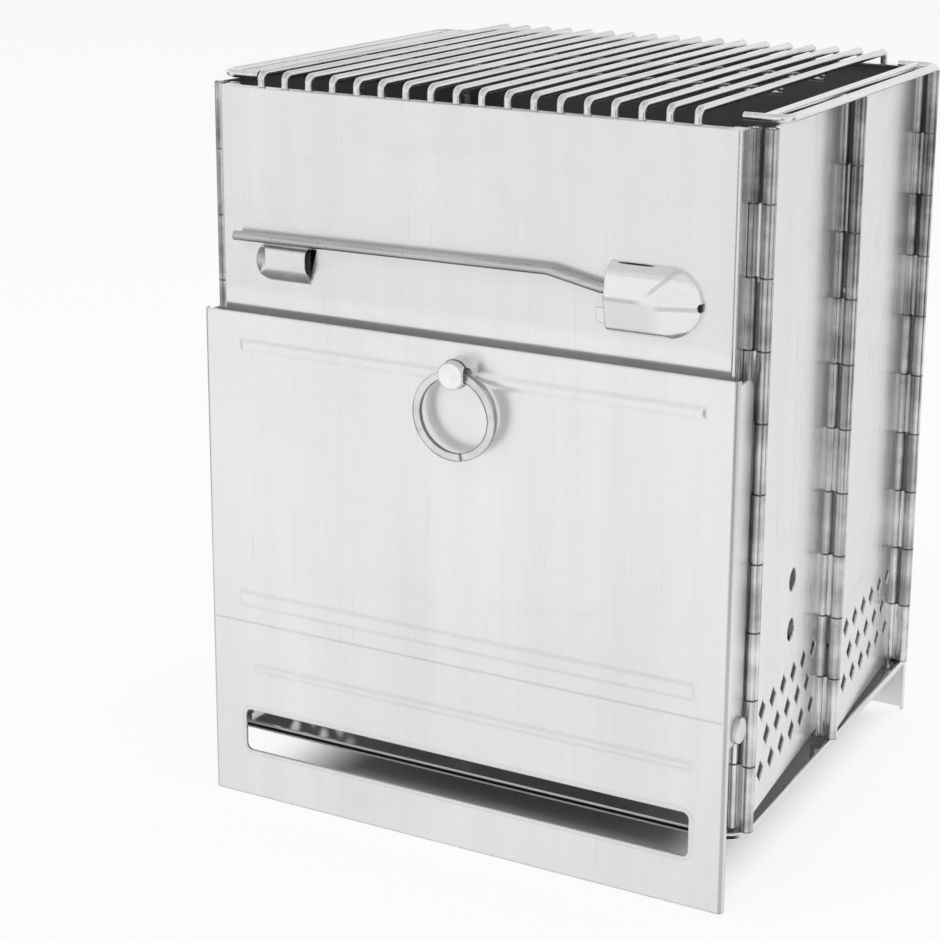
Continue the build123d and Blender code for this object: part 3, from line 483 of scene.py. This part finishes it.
def drawn_wire(name, bright, dull, run, roughness=0.24, underside_shade=0.35):
    """Bright drawn wire: draw lines along its run, painted shade on its underside, small rubs."""
    finish = Finish(name)
    nx, ny, nz = finish.axes(finish.facing)
    fine = [900.0, 900.0, 900.0]
    slow = [160.0, 160.0, 160.0]
    fine["xyz".index(run)] = 9.0
    slow["xyz".index(run)] = 25.0
    line = finish.cloud(finish.stretched(tuple(fine)), detail=3.0, roughness=0.65)
    rub = finish.cloud(finish.stretched(tuple(slow)), detail=4.0, roughness=0.6)
    specks = finish.cloud(finish.stretched((420.0, 420.0, 420.0)), detail=2.0)
    speck = finish.ease(specks, 0.62, 0.72)
    # Painted shade on the faces that look down
    under = 1.0 - finish.ease(nz, -0.75, 0.05)
    light = 0.62 + (line - 0.5) * 0.9 + (rub - 0.5) * 0.7 - under * underside_shade - speck * 0.18
    colour = finish.tone(light, dull, bright)
    rough = roughness + (rub - 0.5) * 0.16 + (line - 0.5) * 0.1 + speck * 0.1
    return finish.steel(colour, rough, finish.relief(line + speck * -0.6, 0.02 * MM))


def turned_metal(name, bright, dull, centre, axis="y", rings=2600.0, seam=None, bore=None):
    """Lathe-turned steel: fine tool rings about the axis, and end faces painted lighter than the
    sides. seam is the place of a dark parting line along the axis, and bore the radius inside
    which the steel takes painted shade."""
    finish = Finish(name)
    spots = finish.axes(finish.place)
    around = [spot - middle for spot, middle in zip(spots, centre)]
    along = spots["xyz".index(axis)]
    del around["xyz".index(axis)]
    radius = (around[0] * around[0] + around[1] * around[1]) ** 0.5
    waver = finish.cloud(finish.stretched((180.0, 180.0, 180.0)), detail=3.0)
    tool = finish.maths("SINE", radius * rings * math.tau + waver * 5.0)
    facing = finish.axes(finish.facing)["xyz".index(axis)]
    end_face = finish.ease(facing * facing, 0.5, 0.8)
    # Painted light: the end faces lighter than the sides
    light = 0.5 + (waver - 0.5) * 1.1 + tool * 0.12 + end_face * 0.4
    colour = finish.tone(light, dull, bright)
    if seam is not None:
        black = finish.tone(waver, (0.02,) * 3, (0.06,) * 3)
        off = finish.size_of(along - seam)
        colour = finish.layer(1.0 - finish.ease(off, 0.10 * MM, 0.22 * MM), colour, black)
    # Painted shade on the inner side of the bore
    if bore is not None:
        shade = finish.tone(waver, (0.14,) * 3, (0.42,) * 3)
        within = 1.0 - finish.ease(radius, bore, bore + 0.3 * MM)
        colour = finish.layer(within * (1.0 - end_face), colour, shade)
    rough = 0.22 + waver * 0.14 + end_face * 0.06
    return finish.steel(colour, rough, finish.relief(tool * 0.5 + waver * 0.7, 0.03 * MM))


def heat_tinted_weld(name):
    """The small welds of the grate: dull, a little blue and straw round the melt."""
    finish = Finish(name)
    melt = finish.cloud(finish.stretched((500.0, 500.0, 500.0)), detail=4.0, roughness=0.6)
    tint = finish.cloud(finish.stretched((90.0, 90.0, 90.0)), detail=2.0)
    straw = finish.tone(tint, (0.30, 0.30, 0.33), (0.46, 0.43, 0.39))
    bare = finish.tone(melt, (0.4,) * 3, (0.72,) * 3)
    colour = finish.layer(finish.ease(melt, 0.4, 0.65), straw, bare)
    return finish.steel(colour, 0.32 + melt * 0.2, finish.relief(melt, 0.08 * MM))


# Openings, creases and bends

def pressing_openings(finish, place, facing):
    """Painted shade: the small weep hole at the pocket's tip and the cut along its upper edge,
    both painted dark, and the inner side of both pressings, painted dark."""
    x, _, z = place
    (tip_x, half_wide), (tip_z, half_high) = WEEP_HOLE
    across = (x - tip_x * MM) / (half_wide * MM)
    upward = (z - tip_z * MM) / (half_high * MM)
    tip = 1.0 - finish.ease(across * across + upward * upward, 0.6, 1.15)
    (cut_x, half_wide), (cut_z, half_high) = POCKET_CUT
    across = (x - cut_x * MM) / (half_wide * MM)
    upward = (z - cut_z * MM) / (half_high * MM)
    cut = 1.0 - finish.ease(across ** 4.0 + upward * upward, 0.5, 1.1)
    return finish.larger(finish.larger(tip, cut), finish.ease(facing[1], 0.1, 0.4))


def pressing_creases(finish, place, facing):
    """Painted shade where the pocket is folded: along its ridge at the mouth, the line to the tip
    and the corner fold, and over its lower half by the mouth. The left pressing is a little darker
    all over."""
    x, _, z = place

    def fold_line(height, thickness, start, end, lean=0.0):
        off = (z - height * MM - (x - start * MM) * lean) / (thickness * MM)
        across = finish.ease(off * off, 0.0, 1.5, 1.0, 0.0)
        fades_in = finish.ease(x, start * MM, (start + 3.5) * MM)
        return across * (fades_in * finish.ease(x, (end - 5) * MM, end * MM, 1.0, 0.0))

    on_pocket = finish.ease(x, 40 * MM, 45 * MM)
    ridge = fold_line(214.0, 0.8, 53.5, 72.0) * 0.6
    valley = fold_line(212.6, 0.9, 74.0, 93.0) * 0.5
    corner = fold_line(215.6, 1.0, 71.0, 83.0, 0.85) * 0.5
    near_mouth = finish.ease(x, 71 * MM, 79 * MM, 1.0, 0.0)
    lower_half = near_mouth * finish.ease(z, 212.8 * MM, 214.4 * MM, 0.26, 0.0)
    on_lance = finish.ease(x, -55 * MM, -50 * MM, 0.16, 0.0)
    return (ridge + valley + corner + lower_half) * on_pocket + on_lance


def panel_mouths(finish, place, facing):
    """Painted shade on the panel where it is seen through the open ends of the two pressings,
    and at the sheared corner at the end of the left one."""
    x, _, z = place
    leaning = x + (LANCE_SHEAR_TOP * MM - z) * LANCE_SHEAR_LEAN
    pocket, lance, shear = (
        finish.between(across, *mouth[0]) * finish.between(z, *mouth[1])
        for across, mouth in ((x, POCKET_MOUTH), (x, LANCE_MOUTH), (leaning, LANCE_SHEAR))
    )
    return finish.larger(pocket, finish.larger(lance, shear))


def door_bends(finish, place, facing):
    """The bends to the side flanges are painted darker than the sheet, a painted dark reflection.
    """
    turn = finish.size_of(facing[0])
    low, high = DOOR_BEND_X
    at_bend = finish.ease(finish.size_of(place[0]), low * MM, high * MM)
    front = at_bend * finish.ease(facing[1], -0.25, -0.1, 1.0, 0.0)
    half_turned = finish.ease(turn, 0.12, 0.4) * finish.ease(turn, 0.72, 0.93, 1.0, 0.0)
    return half_turned * front * 0.75


def pan_band_and_underside_shade(finish, place, facing):
    """A painted dark band of shade round the pan's front wall, and painted shade, nearly black, on
    its underside.
    """
    wall = finish.ease(facing[1], -0.8, -0.5, 1.0, 0.0)
    dark_band = finish.between(place[2], *PAN_DARK_BAND, 0.12) * wall
    return finish.larger(dark_band, finish.ease(facing[2], -0.9, -0.5, 1.0, 0.0) * 0.93)


# Shaping helpers

def start_shape(name):
    """The object just added, under its own name, ready to be shaped."""
    shape = bpy.context.object
    shape.name = name
    shape.data.name = name
    return shape


def clear_hand():
    if bpy.context.object and bpy.context.object.mode != "OBJECT":
        bpy.ops.object.mode_set(mode="OBJECT")
    bpy.ops.object.select_all(action="DESELECT")


def take(shape):
    clear_hand()
    shape.select_set(True)
    bpy.context.view_layer.objects.active = shape


def place_in_mesh(shape):
    """The object goes to the origin and its place goes into its mesh."""
    take(shape)
    bpy.ops.object.transform_apply(location=True, rotation=True, scale=True)


def settle_modifiers(shape):
    take(shape)
    for modifier in list(shape.modifiers):
        bpy.ops.object.modifier_apply(modifier=modifier.name)


def outward(shape):
    """Doubled points joined, and every face turned to the outside."""
    take(shape)
    bpy.ops.object.mode_set(mode="EDIT")
    bpy.ops.mesh.select_all(action="SELECT")
    bpy.ops.mesh.remove_doubles(threshold=1e-6)
    bpy.ops.mesh.normals_make_consistent(inside=False)
    bpy.ops.object.mode_set(mode="OBJECT")


def join_all(shapes, name):
    clear_hand()
    for shape in shapes:
        shape.select_set(True)
    bpy.context.view_layer.objects.active = shapes[0]
    bpy.ops.object.join()
    return start_shape(name)


# Pull ring

def lay_of_turn(turns):
    """How far the coil stands from the ring's middle plane, by turns from its front end."""
    step = RING_STEP / 2
    crossing = min(max((turns - RING_CROSSES_AT) / RING_CROSSES_OVER, 0.0), 1.0)
    crossing = crossing * crossing * (3 - 2 * crossing)
    lay = -step + 2 * step * crossing
    # The coil has been sprung open a little low on the left
    around = turns % 1.0
    spread = math.exp(-((around - RING_SPREAD_AT) / RING_SPREAD_OVER) ** 2) * RING_SPREAD_BY
    return lay + (spread if turns > 1.0 else -spread)


def make_pull_ring():
    """Two flat turns of rolled wire, as one coil with both ends cut square. The coil is
    turned as a long spring first, then every one of its steps is pushed flat."""
    clear_hand()
    bpy.ops.mesh.primitive_plane_add(size=1.0, location=(RING_MEAN_RADIUS, 0, 0))
    ring = start_shape("split_pull_ring")
    bpy.ops.object.mode_set(mode="EDIT")
    bpy.ops.mesh.select_all(action="SELECT")
    bpy.ops.transform.resize(value=(RING_RADIAL, RING_TURN, 1.0))
    bpy.ops.mesh.bevel(affect="VERTICES", offset=RING_WIRE_CORNER, segments=4)
    bpy.ops.mesh.delete(type="ONLY_FACE")
    bpy.ops.object.mode_set(mode="OBJECT")
    place_in_mesh(ring)
    coil = ring.modifiers.new("coil", "SCREW")
    coil.axis = "Y"
    coil.angle = math.radians(RING_SWEEP)
    coil.screw_offset = RING_DRAFT_RISE
    coil.steps = RING_STEPS
    coil.render_steps = RING_STEPS
    coil.use_merge_vertices = False
    settle_modifiers(ring)
    # A point's step is read from its height, its place in the section included, so some
    # points go with the step beside theirs and the wire comes out thinner in its middle
    for vertex in ring.data.vertices:
        risen = min(max(vertex.co.y / RING_DRAFT_RISE, 0.0), 1.0) * RING_TURNS
        turns = round(risen / RING_TURNS * RING_STEPS) / RING_STEPS * RING_TURNS
        section = vertex.co.y - RING_DRAFT_RISE * turns / RING_TURNS
        vertex.co.y = section + lay_of_turn(turns)
    take(ring)
    bpy.ops.object.mode_set(mode="EDIT")
    bpy.ops.mesh.select_all(action="DESELECT")
    bpy.ops.mesh.select_non_manifold()
    bpy.ops.mesh.edge_face_add()
    bpy.ops.object.mode_set(mode="OBJECT")
    start = Matrix.Rotation(math.radians(RING_START_ANGLE), 4, "Y")
    ring.data.transform(Matrix.Translation(RING_CENTRE) @ start)
    outward(ring)
    take(ring)
    bpy.ops.object.shade_smooth_by_angle(angle=math.radians(35))
    return ring


# Grate welds

def make_grate_welds():
    """A squashed bead of melt on both sides of every crossing of bar and cross rod."""
    clear_hand()
    touch = BAR_HEIGHT - BAR_DIA / 2
    bpy.ops.mesh.primitive_uv_sphere_add(segments=12, ring_count=8, radius=1.0, location=(0, 0, 0))
    bead = start_shape("grate_welds")
    bpy.ops.object.mode_set(mode="EDIT")
    bpy.ops.mesh.select_all(action="SELECT")
    bpy.ops.transform.resize(value=WELD_HALF_SIZE)
    bpy.ops.object.mode_set(mode="OBJECT")
    for vertex in bead.data.vertices:
        ripple = math.sin(vertex.co.x * WELD_LOBES[0]) * math.cos(vertex.co.y * WELD_LOBES[1])
        lobe = 1 + WELD_LOBE_SHARE * ripple
        vertex.co = Vector((vertex.co.x * lobe, vertex.co.y * lobe, vertex.co.z))
    first = -(BAR_COUNT - 1) / 2 * BAR_PITCH
    beads = []
    for row, y in enumerate(CROSS_ROD_Y):
        for bar in range(BAR_COUNT):
            place = Vector((first + bar * BAR_PITCH, y, touch + WELD_LIFT))
            turned = bead.data.copy()
            twin = bpy.data.objects.new(f"weld_{row}_{bar}", turned)
            bpy.context.collection.objects.link(twin)
            swing = Matrix.Rotation((bar * WELD_TURN_STEP + row) % WELD_TURN_SPAN, 4, "Z")
            size = 0.86 + 0.14 * math.sin(bar * WELD_SIZE_STEP + row)
            swing = swing @ Matrix.Scale(size, 4)
            turned.transform(Matrix.Translation(place) @ swing)
            beads.append(twin)
    bpy.data.objects.remove(bead)
    welds = join_all(beads, "grate_welds")
    bpy.ops.object.shade_smooth()
    return welds


# Pressings on the front panel

def along_section(section, height):
    for (low, start), (high, end) in zip(section, section[1:]):
        if low <= height <= high:
            return start + (end - start) * (height - low) / (high - low)
    return section[-1][1]


def press_cover(name, section, open_end, round_middle, round_reach, slope, foot):
    """A pressing that stands off the sheet: open at one end, rounded off at the other, where
    it falls to its foot by the slope. All in millimetres until the last line of the loop."""
    clear_hand()
    across_cuts, up_cuts = COVER_GRID
    bpy.ops.mesh.primitive_grid_add(
        x_subdivisions=across_cuts, y_subdivisions=up_cuts, size=1.0, location=(0, 0, 0)
    )
    cover = start_shape(name)
    bottom, top = section[0][0], section[-1][0]
    middle, half = (bottom + top) / 2, (top - bottom) / 2
    way = 1 if round_middle > open_end else -1
    for vertex in cover.data.vertices:
        across, up = vertex.co.x + 0.5, vertex.co.y + 0.5
        height = bottom + (top - bottom) * (0.5 - 0.5 * math.cos(up * math.pi))
        off = (height - middle) / half
        end = round_middle + way * round_reach * math.sqrt(max(0.0, 1 - off * off))
        run = math.sin(across * math.pi / 2)
        x = open_end + (end - open_end) * run
        falls = foot + (slope + COVER_SLOPE_AT_EDGES * off * off) * abs(end - x)
        out = min(along_section(section, height), falls)
        if across > 0.999:
            out = -COVER_EDGE_SINKS
        vertex.co = Vector((x, -out, height)) * MM + Vector((0, FRONT_FACE_Y, 0))
    skin = cover.modifiers.new("sheet", "SOLIDIFY")
    skin.thickness = COVER_SKIN * MM
    skin.offset = -1.0
    settle_modifiers(cover)
    outward(cover)
    bpy.ops.object.shade_smooth_by_angle(angle=math.radians(42))
    return cover


# Dressing the stove

def wear(node, material):
    """A carried-over part takes its finish."""
    part = parts[node]
    part.data.materials.clear()
    part.data.materials.append(material)


def dress_door_and_panels():
    wear("front_panel", rolled_sheet(
        "front_panel_sheet", PALE_SHEET, GREY_SHEET, inside="back", gloss=0.19,
        openings=panel_mouths, satin=behind_door_top,
    ))
    wear("rear_panel", rolled_sheet(
        "rear_panel_sheet", PALE_SHEET, GREY_SHEET, inside="front",
        inner_shade=LIGHT_INNER_SHADE, shade_lightens_right=True,
    ))
    wear("feed_door", rolled_sheet(
        "feed_door_sheet", (0.93, 0.932, 0.936), GREY_SHEET, with_knuckles=False,
        sweep=0.16, gloss=0.22, creases=door_bends, satin=door_back, corner=1.4,
    ))


def dress_sides_and_wires():
    side = rolled_sheet(
        "side_panel_sheet", (0.86, 0.862, 0.866), (0.66, 0.662, 0.668), inside="sides"
    )
    links = rolled_sheet("hinge_link_sheet", PALE_SHEET, GREY_SHEET)
    wires = drawn_wire("hinge_wire", (0.88, 0.88, 0.885), (0.5, 0.5, 0.51), "z")
    frames = drawn_wire(
        "side_frame_wire", (0.95, 0.95, 0.955), (0.55, 0.55, 0.56), "y", 0.26, 0.45
    )
    for hand in ("right", "left"):
        for half in ("front", "rear"):
            wear(f"side_{half}_{hand}", side)
        for column in ("front", "mid", "rear"):
            wear(f"hinge_links_{column}_{hand}", links)
            wear(f"hinge_wire_inner_{column}_{hand}", wires)
            wear(f"hinge_wire_outer_{column}_{hand}", wires)
        wear(f"side_wire_frame_{hand}", frames)


def dress_grate_rod_and_pan():
    wear("grate_bars", drawn_wire(
        "grate_bar_wire", (0.94, 0.94, 0.945), (0.42, 0.42, 0.43), "y", 0.25, 0.5
    ))
    wear("grate_cross_rods", drawn_wire(
        "cross_rod_wire", (0.8, 0.8, 0.805), (0.4, 0.4, 0.41), "x"
    ))
    wear("latch_rod", drawn_wire(
        "latch_rod_wire", (0.74, 0.74, 0.745), (0.2, 0.2, 0.205), "x", 0.22, 0.7
    ))
    # The pan's upward faces take painted shade
    wear("base_pan", rolled_sheet(
        "base_pan_sheet", (0.84, 0.842, 0.846), (0.6, 0.602, 0.608), inside="up",
        with_knuckles=False, inner_shade=PAN_INNER_SHADE, inside_dulls=-0.12,
        openings=pan_band_and_underside_shade, corner=0.3,
    ))


def dress_turned_pieces():
    wear("knob_stud", turned_metal(
        "turned_knob", (0.95, 0.95, 0.955), (0.52, 0.52, 0.53), KNOB_AXIS, seam=KNOB_AXIS.y
    ))
    wear("knob_washer", turned_metal(
        "turned_washer", (0.84, 0.84, 0.845), (0.5, 0.5, 0.51), KNOB_AXIS
    ))
    rivet = turned_metal(
        "pivot_rivet", (0.86, 0.86, 0.865), (0.5, 0.5, 0.51), DOOR_PIVOT, "x"
    )
    wear("door_pivot_rivets", rivet)
    wear("door_pivot_spacers", rivet)


def hang_pull_ring():
    ring = make_pull_ring()
    ring.data.materials.append(turned_metal(
        "pull_ring_wire", (0.78, 0.78, 0.785), (0.34, 0.34, 0.35), RING_CENTRE,
        rings=1400.0, bore=RING_BORE,
    ))
    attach(ring, "ring")
    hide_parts("pull_ring")


def add_pressings():
    pressed = rolled_sheet(
        "pressed_steel", (0.95, 0.952, 0.956), (0.74, 0.742, 0.748), with_knuckles=False,
        gloss=0.12, openings=pressing_openings, creases=pressing_creases,
    )
    pocket = press_cover(
        "latch_pocket_pressing", POCKET_SECTION,
        open_end=56.7, round_middle=76.0, round_reach=14.0, slope=0.39, foot=1.5,
    )
    lance = press_cover(
        "latch_lance_pressing", LANCE_SECTION,
        open_end=-62.9, round_middle=-79.0, round_reach=6.2, slope=0.42, foot=1.35,
    )
    for cover in (pocket, lance):
        cover.data.materials.append(pressed)
        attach(cover, "front")


def add_grate_welds():
    welds = make_grate_welds()
    welds.data.materials.append(heat_tinted_weld("grate_weld"))
    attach(welds, "grate")


# Studio

def light_room():
    """Even pale room light, white where it is seen."""
    world = bpy.data.worlds.new("studio_room")
    bpy.context.scene.world = world
    world.use_nodes = True
    room = Wiring(world.node_tree)
    seen, gloss = room.seen_rays()
    even = room.node("ShaderNodeBackground", None, {"Color": ROOM_GREY, "Strength": ROOM_STRENGTH})
    white = room.node("ShaderNodeBackground", None, {"Color": WHITE, "Strength": 1.0})
    # In gloss the ceiling is a little darker than the walls, so that bends and beads read
    upward = room.axes(room.node("ShaderNodeTexCoord", output="Generated"))[2]
    tones = room.node("ShaderNodeValToRGB", {"stops": ROOM_IN_GLOSS}, {"Fac": upward})
    walls = room.node("ShaderNodeBackground", None, {"Color": tones, "Strength": 1.0})
    all_seen = room.mixed(gloss, white, walls)
    room.node("ShaderNodeOutputWorld", None, {"Surface": room.mixed(seen, even, all_seen)})


def hang_lamp(name, place, aim, size, watts):
    """A soft box that lights the stove but isn't seen in its gloss."""
    clear_hand()
    bpy.ops.object.light_add(type="AREA", location=place)
    lamp = bpy.context.object
    lamp.name = name
    lamp.data.shape = "RECTANGLE"
    lamp.data.size, lamp.data.size_y = size
    lamp.data.energy = watts
    lamp.visible_glossy = False
    lamp.rotation_euler = (Vector(aim) - Vector(place)).to_track_quat("-Z", "Y").to_euler()


def stand_dark_board(name, bearing, width):
    """A dark board beside the stove that only gloss sees; it draws the dark lines on bends."""
    clear_hand()
    angle = math.radians(bearing)
    bpy.ops.mesh.primitive_plane_add(size=1.0, location=(0, 0, 0))
    board = start_shape(name)
    facing = Matrix.Rotation(angle + math.pi / 2, 4, "Z") @ Matrix.Rotation(math.pi / 2, 4, "X")
    centre = Vector((math.cos(angle), math.sin(angle), 0)) * BOARD_DISTANCE
    centre = centre + Vector((0, 0, BOARD_TOP / 2))
    size = Matrix.Diagonal((width, BOARD_TOP, 1, 1))
    board.data.transform(Matrix.Translation(centre) @ facing @ size)
    paint = Surface(name)
    dark = {"Base Color": BOARD_GREY, "Roughness": 0.9}
    board.data.materials.append(paint.close(paint.node("ShaderNodeBsdfPrincipled", None, dark)))
    board.visible_camera = False
    board.visible_diffuse = False
    board.visible_shadow = False
    board.visible_transmission = False
    board.visible_volume_scatter = False


def lay_floor():
    """A plain pale floor that runs out into white and keeps the shadow of the stove."""
    clear_hand()
    bpy.ops.mesh.primitive_circle_add(
        vertices=96, radius=FLOOR_RADIUS, fill_type="NGON", location=(0, 0, 0)
    )
    floor = start_shape("studio_floor")
    ground = Surface("pale_floor")
    card = ground.node("ShaderNodeBsdfDiffuse", None, {"Color": FLOOR_GREY})
    glow = ground.node("ShaderNodeEmission", None, {"Color": WHITE, "Strength": 1.0})
    seen = ground.seen_rays()[0]
    place = ground.axes(ground.node("ShaderNodeTexCoord", output="Object"))
    past_x, past_y = (ground.size_of(off) - half for off, half in zip(place, FOOTPRINT_HALF))
    out_of_foot = ground.larger(past_x, past_y)
    fade = ground.ease(out_of_foot, *FLOOR_FADES_OVER, 0.0, FLOOR_GLOW_SHARE)
    floor.data.materials.append(ground.close(ground.mixed(seen * fade, card, glow)))


def set_camera():
    """Seen from the right of the front, a little above."""
    bearing, height, tilt = (
        math.radians(angle) for angle in (CAMERA_BEARING, CAMERA_HEIGHT, CAMERA_TILT)
    )
    look = Vector((
        -math.sin(bearing) * math.cos(height),
        math.cos(bearing) * math.cos(height),
        -math.sin(height),
    ))
    right = look.cross(Vector((0, 0, 1))).normalized()
    up = right.cross(look)
    right, up = (
        right * math.cos(tilt) + up * math.sin(tilt),
        up * math.cos(tilt) - right * math.sin(tilt),
    )
    data = bpy.data.cameras.new("photo_camera")
    camera = bpy.data.objects.new("photo_camera", data)
    bpy.context.collection.objects.link(camera)
    turn = Matrix((right, up, -look)).transposed().to_4x4()
    camera.matrix_world = Matrix.Translation(CAMERA_PLACE) @ turn
    data.sensor_width = CAMERA_SENSOR
    data.lens = CAMERA_LENS
    data.shift_x, data.shift_y = CAMERA_SHIFT
    data.clip_start, data.clip_end = CAMERA_CLIP
    bpy.context.scene.camera = camera


def dress_stove():
    dress_door_and_panels()
    dress_sides_and_wires()
    dress_grate_rod_and_pan()
    dress_turned_pieces()
    hang_pull_ring()
    add_pressings()
    add_grate_welds()


def set_studio():
    lay_floor()
    light_room()
    for lamp in LAMPS:
        hang_lamp(*lamp)
    for board in DARK_BOARDS:
        stand_dark_board(*board)
    set_camera()
    bpy.context.scene.view_settings.view_transform = "Standard"


dress_stove()
set_studio()
